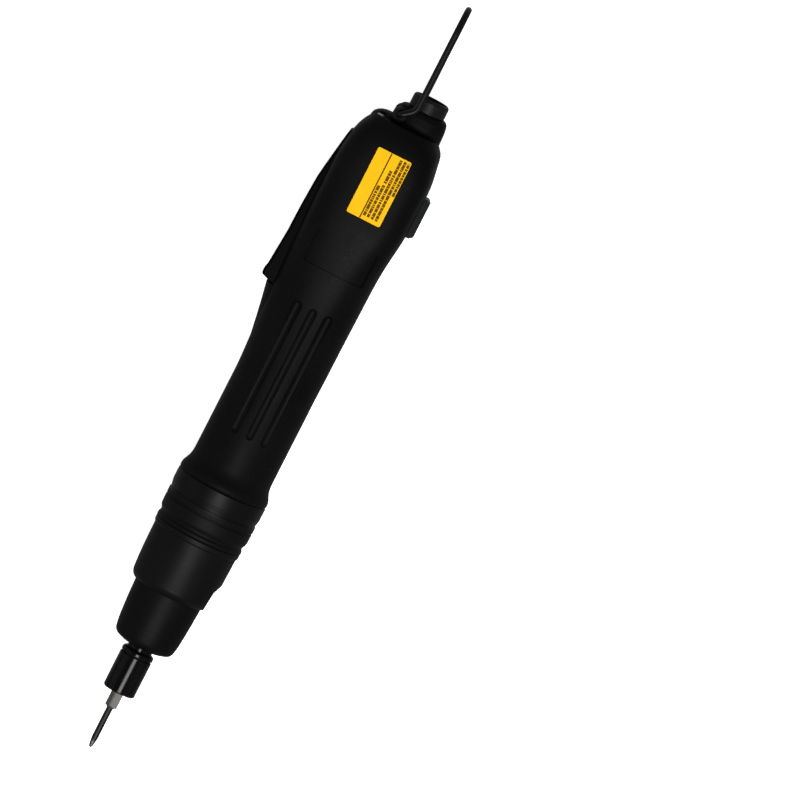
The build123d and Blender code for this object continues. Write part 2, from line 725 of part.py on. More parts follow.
with BuildPart() as motor_end_cap:
    revolve(
        outline((153.0, 10.6), (157.1, 10.6), (157.1, 3.8), (158.2, 3.8), (158.2, 1.22), (161.2, 1.22), (161.2, 3.6), (160.0, 3.6),
                (160.0, 13.4), (159.6, 13.8), (157.1, 13.8), (157.1, 12.8), (153.0, 12.8)),
        axis=SPINE,
    )

with BuildPart() as armature_core:
    with BuildSketch(station(128.0)):
        Circle(10.7)
        Circle(1.15, mode=Mode.SUBTRACT)
        with PolarLocations(7.0, 5, start_angle=36):
            RectangleRounded(4.4, 5.0, 1.4, mode=Mode.SUBTRACT)
        with PolarLocations(10.2, 5, start_angle=36):
            Rectangle(4.0, 1.4, mode=Mode.SUBTRACT)
    extrude(amount=20.0)

with BuildPart() as armature_windings:
    revolve(outline((124.8, 4.4), (127.9, 4.4), (127.9, 9.2), (126.8, 9.8), (125.4, 9.2), (124.8, 8.0)), axis=SPINE)
    revolve(outline((148.1, 4.4), (151.2, 4.4), (151.2, 8.0), (150.6, 9.2), (149.2, 9.8), (148.1, 9.2)), axis=SPINE)
    with BuildSketch(station(127.5)):
        with PolarLocations(7.0, 5, start_angle=36):
            RectangleRounded(4.0, 4.6, 1.2)
    extrude(amount=21.0)

with BuildPart() as commutator:
    revolve(outline((151.4, 1.15), (157.0, 1.15), (157.0, 3.3), (152.2, 3.3), (152.2, 4.0), (151.4, 4.0)), axis=SPINE)

with BuildPart() as motor_shaft:
    with BuildSketch(station(111.6)):
        Circle(1.13)
    extrude(amount=50.0)

with BuildPart() as motor_brushes:
    for side in (1, -1):
        with BuildSketch(station(153.4, 0, side * 6.9)):
            Rectangle(3.0, 7.0)
        extrude(amount=3.4)

# --- start lever ------------------------------------------------------------------------
with BuildPart() as start_lever:
    with BuildSketch(layer(-5.6)):
        with BuildLine():
            Polyline(
                (201.2, 18.6), (201.4, 21.6), (202.4, 24.6), (203.2, 25.1), (204.6, LEVER_OUT), (206.2, 24.75), (210.4, 24.4),
                (217.6, 23.9), (222.5, 23.6),
                (235.0, 23.4), (246.6, 22.9), (251.5, 22.3), (256.3, 21.6), (261.1, 20.9), (266.0, 20.15), (269.8, 19.45),
                (270.2, 19.0), (270.2, 16.7), (266.0, 17.4), (258.0, 18.8), (250.0, 20.2), (236.0, 20.9), (222.0, 21.2), (208.0, 21.7),
                (204.8, 21.0), (203.4, 20.4), (203.2, 18.6),
                close=True,
            )
        make_face()
    extrude(amount=11.2)
    fillet(edges().filter_by(Axis.X, reverse=True).filter_by(lambda e: e.center().Y > AXIS_Y + 22.8 and abs(abs(e.center().Z - AXIS_Z) - 5.6) < 0.05 and abs(e.tangent_at(0.5).Z) < 0.1), 1.1)
    # hinge ear around the pin
    with BuildSketch(layer(-5.6)):
        with Locations((PIN_X, PIN_Y)):
            Circle(3.0)
        with Locations((PIN_X, 17.0)):
            Rectangle(5.6, 3.6)
    extrude(amount=11.2)
    with BuildSketch(layer(-6.0)):
        with Locations((PIN_X, PIN_Y)):
            Circle(1.55)
    extrude(amount=12.0, mode=Mode.SUBTRACT)
    # skirts down both sides, inside the slot
    for low in (-5.6, 4.4):
        with BuildSketch(layer(low)):
            with BuildLine():
                Polyline(
                    (201.2, 18.6), (250.0, 18.3), (262.6, 17.2), (262.6, 18.6), (258.0, 19.4), (250.0, 20.8), (236.0, 21.4),
                    (222.0, 21.7), (208.0, 22.2), (203.0, 22.2), (201.4, 21.4),
                    close=True,
                )
            make_face()
        extrude(amount=1.2)
    # finger over the switch plunger
    with BuildSketch(layer(-2.0)):
        with BuildLine():
            Polyline((245.6, 21.0), (245.6, 12.9), (249.6, 12.9), (249.6, 20.6), close=True)
        make_face()
    extrude(amount=4.0)
    # pip that centres the lever spring
    with BuildSketch(flank(21.6)):
        with Locations((222.0, 0)):
            Circle(1.5)
    extrude(amount=1.6)
    # stop tab with two wings behind the housing wall
    with BuildSketch(layer(-2.5)):
        with BuildLine():
            Polyline((204.6, 22.0), (204.6, 14.8), (209.6, 14.8), (209.6, 22.0), close=True)
        make_face()
    extrude(amount=5.0)
    with BuildSketch(layer(-7.2)):
        with BuildLine():
            Polyline((204.6, 16.4), (204.6, 14.6), (209.6, 14.6), (209.6, 16.4), close=True)
        make_face()
    extrude(amount=14.4)

with BuildPart() as lever_pin:
    with BuildSketch(layer(-9.6)):
        with Locations((PIN_X, PIN_Y)):
            Circle(1.5)
    extrude(amount=19.2)

with BuildPart() as lever_spring:
    with BuildLine():
        coil = Helix(pitch=1.7, height=10.1, radius=2.3, center=(222.0 - X_C, AXIS_Y + 10.3, AXIS_Z), direction=(0, 1, 0))
    with BuildSketch(Plane(origin=coil @ 0, z_dir=coil % 0)):
        Circle(0.3)
    sweep(path=coil, is_frenet=True)

# --- start switch -----------------------------------------------------------------------
with BuildPart() as start_switch:
    with BuildSketch(layer(-3.2)):
        with BuildLine():
            Polyline((238.0, 1.2), (258.0, 1.2), (258.0, 11.4), (238.0, 11.4), close=True)
        make_face()
    extrude(amount=6.4)
    with BuildSketch(layer(-4.0)):
        with Locations((243.2, 4.0), (252.8, 4.0)):
            Circle(1.25)
    extrude(amount=8.0, mode=Mode.SUBTRACT)
    with BuildSketch(flank(11.4)):
        with Locations((PLUNGER_X, 0)):
            Circle(1.2)
    extrude(amount=4.0, mode=Mode.SUBTRACT)
    for tx in (240.5, 248.0, 255.5):
        with BuildSketch(layer(-1.5)):
            with Locations((tx, 0.0)):
                Rectangle(0.5, 3.4)
        extrude(amount=3.0)

with BuildPart() as switch_plunger:
    with BuildSketch(flank(12.3)):
        with Locations((PLUNGER_X, 0)):
            Circle(1.1)
    extrude(amount=3.7)
    with BuildSketch(flank(12.82)):
        with Locations((PLUNGER_X, 0)):
            Circle(0.8)
    extrude(amount=0.6)

# --- direction switch --------------------------------------------------------------------
with BuildPart() as direction_switch:
    with BuildSketch(layer(-4.2)):
        with BuildLine():
            Polyline((241.0, -9.2), (260.0, -9.2), (260.0, -17.0), (241.0, -17.0), close=True)
        make_face()
    extrude(amount=8.4)
    with BuildSketch(flank(-18.0)):
        with Locations((250.5, 0)):
            Rectangle(11.0, 4.4)
    extrude(amount=-5.0, mode=Mode.SUBTRACT)
    for tx in (244.0, 250.5, 257.0):
        with BuildSketch(layer(-1.0)):
            with Locations((tx, -8.0)):
                Rectangle(0.6, 3.0)
        extrude(amount=2.0)

with BuildPart() as direction_knob:
    with BuildSketch(layer(-4.6)):
        with BuildLine():
            Polyline(
                (241.6, -18.75), (241.6, -20.9), (242.9, -22.5), (257.4, -22.5), (258.9, -21.2), (258.9, -18.75),
                close=True,
            )
        make_face()
    extrude(amount=9.2)
    with BuildSketch(layer(-1.9)):
        with Locations((250.5, -17.8)):
            Rectangle(5.0, 6.0)
    extrude(amount=3.8)
    # thumb ridges across the face
    with BuildSketch(layer(-6.0)):
        with Locations((246.0, -22.6), (248.2, -22.6), (250.4, -22.6), (252.6, -22.6), (254.8, -22.6)):
            Circle(0.45)
    extrude(amount=12.0, mode=Mode.SUBTRACT)

# --- control board -----------------------------------------------------------------------
with BuildPart() as control_board:
    with BuildSketch(layer(-8.4)):
        with BuildLine():
            Polyline((176.0, -12.0), (236.0, -12.0), (236.0, 6.0), (176.0, 6.0), close=True)
        make_face()
        with Locations((181.0, -8.0), (231.0, 2.5)):
            Circle(1.05, mode=Mode.SUBTRACT)
    extrude(amount=1.6)

with BuildPart() as board_components:
    # capacitor lying down, two power transistors, a choke and a connector block
    with BuildSketch(station(188.0, -3.0, -1.7)):
        Circle(5.0)
    extrude(amount=12.5)
    for cx in (206.0, 213.0):
        with BuildSketch(layer(-6.75)):
            with Locations((cx, -6.0)):
                Rectangle(4.6, 10.0)
        extrude(amount=4.6)
    with BuildSketch(layer(-6.75)):
        with Locations((221.5, -5.0)):
            Circle(4.0)
    extrude(amount=7.0)
    with BuildSketch(layer(-6.75)):
        with Locations((229.5, -6.0)):
            Rectangle(5.0, 9.0)
    extrude(amount=6.0)
    with BuildSketch(layer(-6.75)):
        with Locations((210.0, 3.0)):
            Rectangle(9.0, 4.4)
    extrude(amount=1.6)

with BuildPart() as board_screws:
    for bx, by in ((181.0, -8.0), (231.0, 2.5)):
        with BuildSketch(layer(-6.8)):
            with Locations((bx, by)):
                Circle(1.75)
        extrude(amount=1.2)
        with BuildSketch(layer(-6.8)):
            with Locations((bx, by)):
                Circle(0.85)
        extrude(amount=-5.8)

# --- power inlet -----------------------------------------------------------------------
with BuildPart() as inlet_shell:
    inlet_axis = Axis((-X_C, AXIS_Y + INLET_Y, AXIS_Z), (1, 0, 0))
    with BuildSketch(Plane(origin=(-X_C, AXIS_Y + INLET_Y, AXIS_Z), x_dir=(1, 0, 0), z_dir=(0, 0, 1))):
        with BuildLine():
            Polyline(
                (278.6, 5.9), (278.6, 6.8), (289.5, 6.8), (289.5, 7.3), (289.9, 7.7), (294.2, 7.7), (294.9, 7.45),
                (295.3, 7.0), (295.3, 6.3), (295.1, 6.1), (284.6, 6.1), (284.6, 5.9), close=True,
            )
        make_face()
    revolve(axis=inlet_axis)

with BuildPart() as inlet_insert:
    with BuildSketch(station(279.0, INLET_Y)):
        Circle(5.85)
        with PolarLocations(3.4, 6):
            Circle(0.5, mode=Mode.SUBTRACT)
    extrude(amount=5.5)

with BuildPart() as inlet_pins:
    with BuildSketch(station(276.6, INLET_Y)):
        with PolarLocations(3.4, 6):
            Circle(0.48)
    extrude(amount=15.4)

# --- suspension bail ---------------------------------------------------------------------
with BuildPart() as bail:
    with BuildLine() as bail_path:
        FilletPolyline(
            (BAIL_X - X_C, AXIS_Y + BAIL_Y, AXIS_Z + 8.0),
            (BAIL_X - X_C, AXIS_Y + BAIL_Y, AXIS_Z + BAIL_Z),
            (289.3 - X_C, AXIS_Y - 0.9, AXIS_Z + BAIL_Z),
            (LENGTH - BAIL_WIRE - X_C, AXIS_Y - 0.9, AXIS_Z + BAIL_Z),
            (LENGTH - BAIL_WIRE - X_C, AXIS_Y - 0.9, AXIS_Z - BAIL_Z),
            (289.3 - X_C, AXIS_Y - 0.9, AXIS_Z - BAIL_Z),
            (BAIL_X - X_C, AXIS_Y + BAIL_Y, AXIS_Z - BAIL_Z),
            (BAIL_X - X_C, AXIS_Y + BAIL_Y, AXIS_Z - 8.0),
            radius=[1.7, 5.0, 9.8, 9.8, 5.0, 1.7],
        )
    with BuildSketch(Plane(origin=bail_path.line @ 0, z_dir=bail_path.line % 0)):
        Circle(BAIL_WIRE)
    sweep(path=bail_path.line)

# --- label, ground screw --------------------------------------------------------------------
with BuildPart() as label_plate:
    with BuildSketch(layer(18.75)):
        with Locations((256.4, -1.3)):
            RectangleRounded(29.0, 14.8, 0.8)
    extrude(amount=0.4)

with BuildPart() as ground_screw:
    with BuildSketch(station(280.4, 11.2, 7.0)):
        Circle(1.6)
    extrude(amount=1.3)
    fillet(edges().group_by(Axis.X)[-1], 0.6)
    with BuildSketch(station(280.4, 11.2, 7.0)):
        Circle(0.8)
    extrude(amount=-4.5)
    with BuildSketch(station(281.2, 11.2, 7.0)):
        Rectangle(4.0, 0.5)
    extrude(amount=2.0, mode=Mode.SUBTRACT)

# --- wire harness ------------------------------------------------------------------------------
with BuildPart() as wire_harness:
    with BuildLine() as lead_a:
        FilletPolyline(
            (276.4 - X_C, AXIS_Y - 6.0, AXIS_Z + 2.4), (266.0 - X_C, AXIS_Y - 5.5, AXIS_Z + 4.0),
            (252.0 - X_C, AXIS_Y - 5.0, AXIS_Z + 6.5), (240.0 - X_C, AXIS_Y - 5.5, AXIS_Z + 3.5),
            (234.0 - X_C, AXIS_Y - 6.0, AXIS_Z - 0.6),
            radius=[12, 12, 5],
        )
    with BuildSketch(Plane(origin=lead_a.line @ 0, z_dir=lead_a.line % 0)):
        Circle(0.8)
    sweep(path=lead_a.line)

    for side in (1, -1):
        with BuildLine() as lead_b:
            FilletPolyline(
                (160.1 - X_C, AXIS_Y + side * 6.5, AXIS_Z + 3.0), (168.0 - X_C, AXIS_Y + side * 6.2, AXIS_Z + 3.0),
                (174.0 - X_C, AXIS_Y + side * 3.6 + 3.0, AXIS_Z - 2.5), (181.0 - X_C, AXIS_Y + side * 1.2 + 3.5, AXIS_Z - 6.0),
                radius=[4, 4],
            )
        with BuildSketch(Plane(origin=lead_b.line @ 0, z_dir=lead_b.line % 0)):
            Circle(0.7)
        sweep(path=lead_b.line)

pieces = {
    "front_housing_shell": front_housing_shell.part,
    "rear_housing_shell": rear_housing_shell.part,
    "housing_screws": housing_screws.part,
    "gearbox_collar": gearbox_collar.part,
    "cover_screws": cover_screws.part,
    "clutch_cover": clutch_cover.part,
    "torque_nut": torque_nut.part,
    "nose_bush": nose_bush.part,
    "spring_seat": spring_seat.part,
    "thrust_ring": thrust_ring.part,
    "torque_spring": torque_spring.part,
    "spindle": spindle.part,
    "chuck_balls": chuck_balls.part,
    "chuck_snap_ring": chuck_snap_ring.part,
    "chuck_spring": chuck_spring.part,
    "chuck_sleeve": chuck_sleeve.part,
    "bit": bit.part,
    "clutch_driven_disc": clutch_driven_disc.part,
    "clutch_balls": clutch_balls.part,
    "clutch_drive_disc": clutch_drive_disc.part,
    "output_bearing_outer_race": output_bearing_outer_race.part,
    "output_bearing_inner_race": output_bearing_inner_race.part,
    "output_bearing_balls": output_bearing_balls.part,
    "ring_gear": ring_gear.part,
    "output_carrier": output_carrier.part,
    "first_carrier": first_carrier.part,
    **planets,
    "motor_pinion": motor_pinion.part,
    "motor_mount_plate": motor_mount_plate.part,
    "motor_screws": motor_screws.part,
    "motor_can": motor_can.part,
    "motor_magnets": motor_magnets.part,
    "motor_end_cap": motor_end_cap.part,
    "armature_core": armature_core.part,
    "armature_windings": armature_windings.part,
    "commutator": commutator.part,
    "motor_shaft": motor_shaft.part,
    "motor_brushes": motor_brushes.part,
    "start_lever": start_lever.part,
    "lever_pin": lever_pin.part,
    "lever_spring": lever_spring.part,
    "start_switch": start_switch.part,
    "switch_plunger": switch_plunger.part,
    "direction_switch": direction_switch.part,
    "direction_knob": direction_knob.part,
    "control_board": control_board.part,
    "board_components": board_components.part,
    "board_screws": board_screws.part,
    "inlet_shell": inlet_shell.part,
    "inlet_insert": inlet_insert.part,
    "inlet_pins": inlet_pins.part,
    "bail": bail.part,
    "label_plate": label_plate.part,
    "ground_screw": ground_screw.part,
    "wire_harness": wire_harness.part,
}

for name, part in pieces.items():
    part.label = name
    export_step(part, "parts/" + name + ".step")
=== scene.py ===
import json
import math

import bmesh
import bpy
from mathutils import Matrix, Vector


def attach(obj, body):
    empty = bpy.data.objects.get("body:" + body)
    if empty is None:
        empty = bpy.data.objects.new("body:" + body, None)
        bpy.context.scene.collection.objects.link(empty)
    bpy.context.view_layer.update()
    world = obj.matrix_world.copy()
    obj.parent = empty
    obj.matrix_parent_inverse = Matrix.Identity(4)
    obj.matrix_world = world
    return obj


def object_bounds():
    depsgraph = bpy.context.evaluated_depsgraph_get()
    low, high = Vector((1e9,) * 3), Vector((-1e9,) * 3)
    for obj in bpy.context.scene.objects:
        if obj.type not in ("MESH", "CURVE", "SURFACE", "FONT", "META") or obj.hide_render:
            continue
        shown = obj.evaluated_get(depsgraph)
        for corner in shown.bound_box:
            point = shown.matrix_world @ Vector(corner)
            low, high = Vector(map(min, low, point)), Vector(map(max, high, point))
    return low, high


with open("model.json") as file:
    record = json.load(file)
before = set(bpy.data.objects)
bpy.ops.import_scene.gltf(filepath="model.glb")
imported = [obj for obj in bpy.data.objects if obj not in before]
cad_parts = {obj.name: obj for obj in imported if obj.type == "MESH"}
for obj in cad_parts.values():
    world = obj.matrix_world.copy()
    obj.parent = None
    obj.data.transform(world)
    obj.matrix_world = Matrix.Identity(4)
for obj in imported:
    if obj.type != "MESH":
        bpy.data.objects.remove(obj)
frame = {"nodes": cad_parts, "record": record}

cad_lo, cad_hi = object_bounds()
scene = bpy.context.scene
nodes = frame["nodes"]

# Station (mm along the tool from the bit's tip), y and z (mm from the tool's axis) to the row frame in metres.
X_C, AXIS_Y, AXIS_Z = 167.5, -1.35, 19.0


def at(x, y=0.0, z=0.0):
    return Vector(((x - X_C) / 1000, (y + AXIS_Y) / 1000, (z + AXIS_Z) / 1000))


# ---------------------------------------------------------------- camera
MM_PER_PX = 0.40
ROLL = math.radians(27.1)        # the tool's axis leans this far clockwise from upright in the picture
TILT = math.radians(7.0)         # the head end is turned this much towards the camera
DISTANCE = 8.0
FRAME_MM = 800 * MM_PER_PX

toward = Vector((math.sin(TILT), 0, math.cos(TILT)))
along = Vector((math.cos(TILT), 0, -math.sin(TILT)))
across = Vector((0, 1, 0))
right = along * math.sin(ROLL) - across * math.cos(ROLL)
up = along * math.cos(ROLL) + across * math.sin(ROLL)
target = at(181.8, -47.36, 0.0)
cam_data = bpy.data.cameras.new("camera")
cam_data.sensor_width = 36
cam_data.lens = 36 * DISTANCE / (FRAME_MM / 1000)
cam_data.clip_start, cam_data.clip_end = 0.5, 40
cam = bpy.data.objects.new("camera", cam_data)
scene.collection.objects.link(cam)
turn = Matrix((right, up, toward)).transposed().to_4x4()
cam.matrix_world = Matrix.Translation(target + toward * DISTANCE) @ turn
scene.camera = cam
scene.view_settings.view_transform = "Standard"
scene.view_settings.look = "None"


# ---------------------------------------------------------------- materials
class Shader:
    """A small helper that strings shader nodes together."""

    def __init__(self, name):
        self.mat = bpy.data.materials.new(name)
        self.mat.use_nodes = True
        self.tree = self.mat.node_tree
        self.bsdf = self.tree.nodes["Principled BSDF"]
        self.coord = self.node("ShaderNodeTexCoord").outputs["Object"]

    def node(self, kind, **props):
        n = self.tree.nodes.new(kind)
        for k, v in props.items():
            setattr(n, k, v)
        return n

    def put(self, value, socket):
        if isinstance(value, bpy.types.NodeSocket):
            self.tree.links.new(value, socket)
        else:
            socket.default_value = value

    def scaled(self, scale=(1, 1, 1), move=(0, 0, 0), turn=(0, 0, 0)):
        m = self.node("ShaderNodeMapping")
        self.put(self.coord, m.inputs["Vector"])
        m.inputs["Scale"].default_value = scale
        m.inputs["Location"].default_value = move
        m.inputs["Rotation"].default_value = turn
        return m.outputs["Vector"]

    def noise(self, scale, detail=3.0, rough=0.5, vector=None, distort=0.0):
        n = self.node("ShaderNodeTexNoise")
        self.put(vector if vector is not None else self.coord, n.inputs["Vector"])
        n.inputs["Scale"].default_value = scale
        n.inputs["Detail"].default_value = detail
        n.inputs["Roughness"].default_value = rough
        n.inputs["Distortion"].default_value = distort
        return n.outputs["Fac"]

    def cells(self, scale, vector=None, feature="F1"):
        n = self.node("ShaderNodeTexVoronoi", feature=feature)
        self.put(vector if vector is not None else self.coord, n.inputs["Vector"])
        n.inputs["Scale"].default_value = scale
        return n.outputs["Distance"]

    def ramp(self, value, lo, hi, a=0.0, b=1.0):
        n = self.node("ShaderNodeMapRange")
        self.put(value, n.inputs["Value"])
        n.inputs["From Min"].default_value = lo
        n.inputs["From Max"].default_value = hi
        n.inputs["To Min"].default_value = a
        n.inputs["To Max"].default_value = b
        return n.outputs["Result"]

    def math(self, op, a, b=0.0):
        n = self.node("ShaderNodeMath", operation=op)
        self.put(a, n.inputs[0])
        self.put(b, n.inputs[1])
        return n.outputs[0]

    def mix(self, fac, a, b):
        n = self.node("ShaderNodeMix", data_type="RGBA")
        self.put(fac, n.inputs["Factor"])
        self.put(a, n.inputs["A"])
        self.put(b, n.inputs["B"])
        return n.outputs["Result"]

    def axis(self, letter):
        n = self.node("ShaderNodeSeparateXYZ")
        self.put(self.coord, n.inputs[0])
        return n.outputs[letter]

    def bump(self, height, strength, distance, normal=None):
        n = self.node("ShaderNodeBump")
        self.put(height, n.inputs["Height"])
        n.inputs["Strength"].default_value = strength
        n.inputs["Distance"].default_value = distance
        if normal is not None:
            self.put(normal, n.inputs["Normal"])
        return n.outputs["Normal"]

    def set(self, **values):
        names = {"color": "Base Color", "rough": "Roughness", "metal": "Metallic", "spec": "Specular IOR Level",
                 "coat": "Coat Weight", "coat_rough": "Coat Roughness", "normal": "Normal", "ior": "IOR",
                 "sheen": "Sheen Weight", "sheen_rough": "Sheen Roughness", "aniso": "Anisotropic"}
        for k, v in values.items():
            self.put(v, self.bsdf.inputs[names[k]])
        return self.mat


def rgb(r, g, b):
    return (r, g, b, 1.0)


def moulded(name, dark, light, rough, spec, grain=1500, depth=0.00004, strength=0.5, blotch=38, polish=0.0):
    """Moulded plastic: a fine spark-eroded grain, with slow changes of tone and gloss where hands rub it."""
    s = Shader(name)
    slow = s.ramp(s.noise(blotch, 4, 0.55), 0.32, 0.68)
    speck = s.ramp(s.noise(grain * 0.8, 2, 0.6), 0.38, 0.66)
    tone = s.math("ADD", s.math("MULTIPLY", slow, 0.55), s.math("MULTIPLY", speck, 0.45))
    color = s.mix(tone, rgb(*dark), rgb(*light))
    gloss = s.math("ADD", s.ramp(slow, 0, 1, rough - 0.05, rough + 0.04), s.ramp(speck, 0, 1, -0.03, 0.03))
    pits = s.cells(grain, feature="SMOOTH_F1")
    fine = s.noise(grain * 1.7, 2, 0.5)
    n = s.bump(s.math("ADD", pits, s.math("MULTIPLY", fine, 0.6)), strength, depth)
    return s.set(color=color, rough=gloss, spec=spec, normal=n, coat=polish, coat_rough=0.28)


def satin_nose(name, dark, light, rough, spec):
    """Satin moulding with a very faint trace of turning round the axis."""
    s = Shader(name)
    slow = s.ramp(s.noise(60, 4, 0.5), 0.3, 0.7)
    rings = s.noise(1.0, 3, 0.6, vector=s.scaled((2600, 40, 40)))
    color = s.mix(s.math("ADD", s.math("MULTIPLY", slow, 0.7), s.math("MULTIPLY", rings, 0.3)), rgb(*dark), rgb(*light))
    gloss = s.math("ADD", s.ramp(slow, 0, 1, rough - 0.04, rough + 0.05), s.ramp(rings, 0.3, 0.7, -0.02, 0.02))
    n = s.bump(s.noise(1900, 2, 0.5), 0.32, 0.00003)
    n = s.bump(rings, 0.10, 0.00002, n)
    return s.set(color=color, rough=gloss, spec=spec, normal=n)


def collar_plastic():
    """The nose's moulding, polished by handling on the band nearest the grip."""
    s = Shader("collar_plastic")
    slow = s.ramp(s.noise(60, 4, 0.5), 0.3, 0.7)
    rings = s.noise(1.0, 3, 0.6, vector=s.scaled((2600, 40, 40)))
    rubbed = s.ramp(s.axis("X"), at(107.5).x, at(109.5).x)
    color = s.mix(s.math("ADD", s.math("MULTIPLY", slow, 0.7), s.math("MULTIPLY", rings, 0.3)), rgb(0.0008, 0.0008, 0.0009), rgb(0.0018, 0.0018, 0.0019))
    gloss = s.math("ADD", s.ramp(slow, 0, 1, 0.53, 0.58), s.math("MULTIPLY", rubbed, -0.15))
    n = s.bump(s.noise(1900, 2, 0.5), 0.32, 0.00003)
    n = s.bump(rings, 0.10, 0.00002, n)
    return s.set(color=color, rough=gloss, spec=0.085, normal=n)


def steel(name, dark, light, rough, drawn=(40, 900, 900), grime=0.0, strength=0.12):
    """Metal with drawn or ground lines along the given direction, and faint darker films."""
    s = Shader(name)
    lines = s.noise(1.0, 4, 0.65, vector=s.scaled(drawn))
    film = s.ramp(s.noise(160, 4, 0.6, distort=0.6), 0.35, 0.7)
    color = s.mix(lines, rgb(*dark), rgb(*light))
    color = s.mix(s.math("MULTIPLY", film, grime), color, rgb(*[c * 0.45 for c in dark]))
    gloss = s.math("ADD", s.ramp(lines, 0.3, 0.7, rough - 0.06, rough + 0.08), s.math("MULTIPLY", film, 0.08))
    n = s.bump(lines, strength, 0.00003)
    return s.set(color=color, rough=gloss, metal=1.0, normal=n)


def bit_steel():
    """Ground tool steel: a bright polished hexagon, a darker shank from the throat down, and painted shade, darker and
    browner, on the hexagon's +Y side.
    """
    s = Shader("bit_steel")
    x = s.axis("X")
    lines = s.noise(1.0, 4, 0.65, vector=s.scaled((60, 1500, 1500)))
    hexed = s.ramp(x, at(17.4).x, at(18.7).x)
    shaft = s.mix(lines, rgb(0.009, 0.0085, 0.0085), rgb(0.034, 0.033, 0.032))
    bright = s.mix(lines, rgb(0.24, 0.235, 0.22), rgb(0.40, 0.39, 0.37))
    # painted shade: the hexagon's faces towards +Y are darkened and browned
    shaded_side = s.math("MULTIPLY", s.ramp(s.axis("Y"), at(0, -0.3).y, at(0, 1.1).y), 0.88)
    bright = s.mix(shaded_side, bright, rgb(0.040, 0.034, 0.026))
    tip = s.ramp(x, at(1.6).x, at(3.6).x, 1.0, 0.0)
    worn = s.mix(s.math("MULTIPLY", tip, s.ramp(s.noise(900, 3, 0.6), 0.35, 0.6)), shaft, rgb(0.16, 0.155, 0.15))
    color = s.mix(hexed, worn, bright)
    gloss = s.math("ADD", s.ramp(lines, 0.3, 0.7, 0.20, 0.34), s.math("MULTIPLY", s.math("SUBTRACT", 1.0, hexed), 0.20))
    return s.set(color=color, rough=gloss, metal=1.0, normal=s.bump(lines, 0.12, 0.00002))


def black_steel():
    """Blackened and polished steel, with a thin oiled skin."""
    s = Shader("blackened_steel")
    rings = s.noise(1.0, 4, 0.6, vector=s.scaled((3000, 60, 60)))
    wear = s.ramp(s.noise(420, 4, 0.65), 0.55, 0.80)
    color = s.mix(s.math("MULTIPLY", wear, 0.4), rgb(0.0010, 0.0010, 0.0013), rgb(0.008, 0.008, 0.009))
    x = s.axis("X")
    greased = s.math("MULTIPLY", s.ramp(x, at(40.75).x, at(40.95).x), s.ramp(x, at(41.65).x, at(41.85).x, 1.0, 0.0))
    gloss = s.math("ADD", s.ramp(rings, 0.3, 0.7, 0.12, 0.17), s.math("MULTIPLY", wear, 0.10))
    gloss = s.math("ADD", gloss, s.math("MULTIPLY", greased, 0.6))
    n = s.bump(rings, 0.10, 0.00002)
    return s.set(color=color, rough=gloss, spec=0.09, normal=n)


def knob_plastic():
    """Dark glossy moulding with a slight blue-green cast."""
    s = Shader("knob_plastic")
    slow = s.ramp(s.noise(240, 3, 0.5), 0.3, 0.7)
    color = s.mix(slow, rgb(0.0008, 0.0016, 0.0018), rgb(0.0018, 0.0030, 0.0033))
    gloss = s.ramp(s.noise(900, 3, 0.5), 0.3, 0.7, 0.26, 0.36)
    return s.set(color=color, rough=gloss, spec=0.05, normal=s.bump(s.noise(1600, 2, 0.5), 0.10, 0.00003))


def label_film():
    """Printed orange-yellow film: a warm tone with slight print mottle."""
    s = Shader("label_film")
    mottle = s.ramp(s.noise(700, 4, 0.6), 0.3, 0.7)
    slow = s.ramp(s.noise(80, 3, 0.5), 0.3, 0.7)
    tone = s.math("ADD", s.math("MULTIPLY", mottle, 0.4), s.math("MULTIPLY", slow, 0.6))
    color = s.mix(tone, rgb(0.82, 0.42, 0.001), rgb(0.90, 0.49, 0.004))
    gloss = s.ramp(s.noise(500, 3, 0.5), 0.3, 0.7, 0.46, 0.56)
    return s.set(color=color, rough=gloss, spec=0.05, normal=s.bump(s.noise(1100, 2, 0.5), 0.10, 0.00002))


def label_ink():
    """Dark print on the film, slightly broken where the film's grain shows through."""
    s = Shader("label_ink")
    broken = s.ramp(s.noise(3200, 3, 0.7), 0.42, 0.72)
    color = s.mix(broken, rgb(0.060, 0.030, 0.002), rgb(0.24, 0.12, 0.003))
    gloss = s.ramp(s.noise(500, 3, 0.5), 0.3, 0.7, 0.50, 0.60)
    return s.set(color=color, rough=gloss, spec=0.04, normal=s.bump(s.noise(1400, 2, 0.5), 0.10, 0.00002))


def wire_coat():
    """Black lacquered spring wire, rubbed a little along its length."""
    s = Shader("bail_wire")
    lines = s.noise(1.0, 4, 0.6, vector=s.scaled((90, 1500, 1500)))
    chips = s.ramp(s.noise(700, 5, 0.7), 0.66, 0.74)
    color = s.mix(lines, rgb(0.0015, 0.0015, 0.0015), rgb(0.005, 0.005, 0.005))
    color = s.mix(s.math("MULTIPLY", chips, 0.5), color, rgb(0.09, 0.085, 0.08))
    gloss = s.ramp(lines, 0.3, 0.7, 0.30, 0.40)
    return s.set(color=color, rough=gloss, spec=0.11, normal=s.bump(lines, 0.15, 0.00003))


def wound_copper():
    s = Shader("copper_wire")
    turns = s.noise(1.0, 2, 0.5, vector=s.scaled((300, 2400, 2400)))
    color = s.mix(turns, rgb(0.28, 0.08, 0.03), rgb(0.85, 0.36, 0.17))
    return s.set(color=color, rough=s.ramp(turns, 0.3, 0.7, 0.25, 0.4), metal=1.0, normal=s.bump(turns, 0.4, 0.0001))


def ferrite():
    s = Shader("magnet_iron")
    grain = s.noise(2400, 4, 0.7)
    color = s.mix(grain, rgb(0.02, 0.02, 0.021), rgb(0.07, 0.07, 0.072))
    return s.set(color=color, rough=s.ramp(grain, 0.3, 0.7, 0.6, 0.8), spec=0.4, normal=s.bump(grain, 0.3, 0.00005))


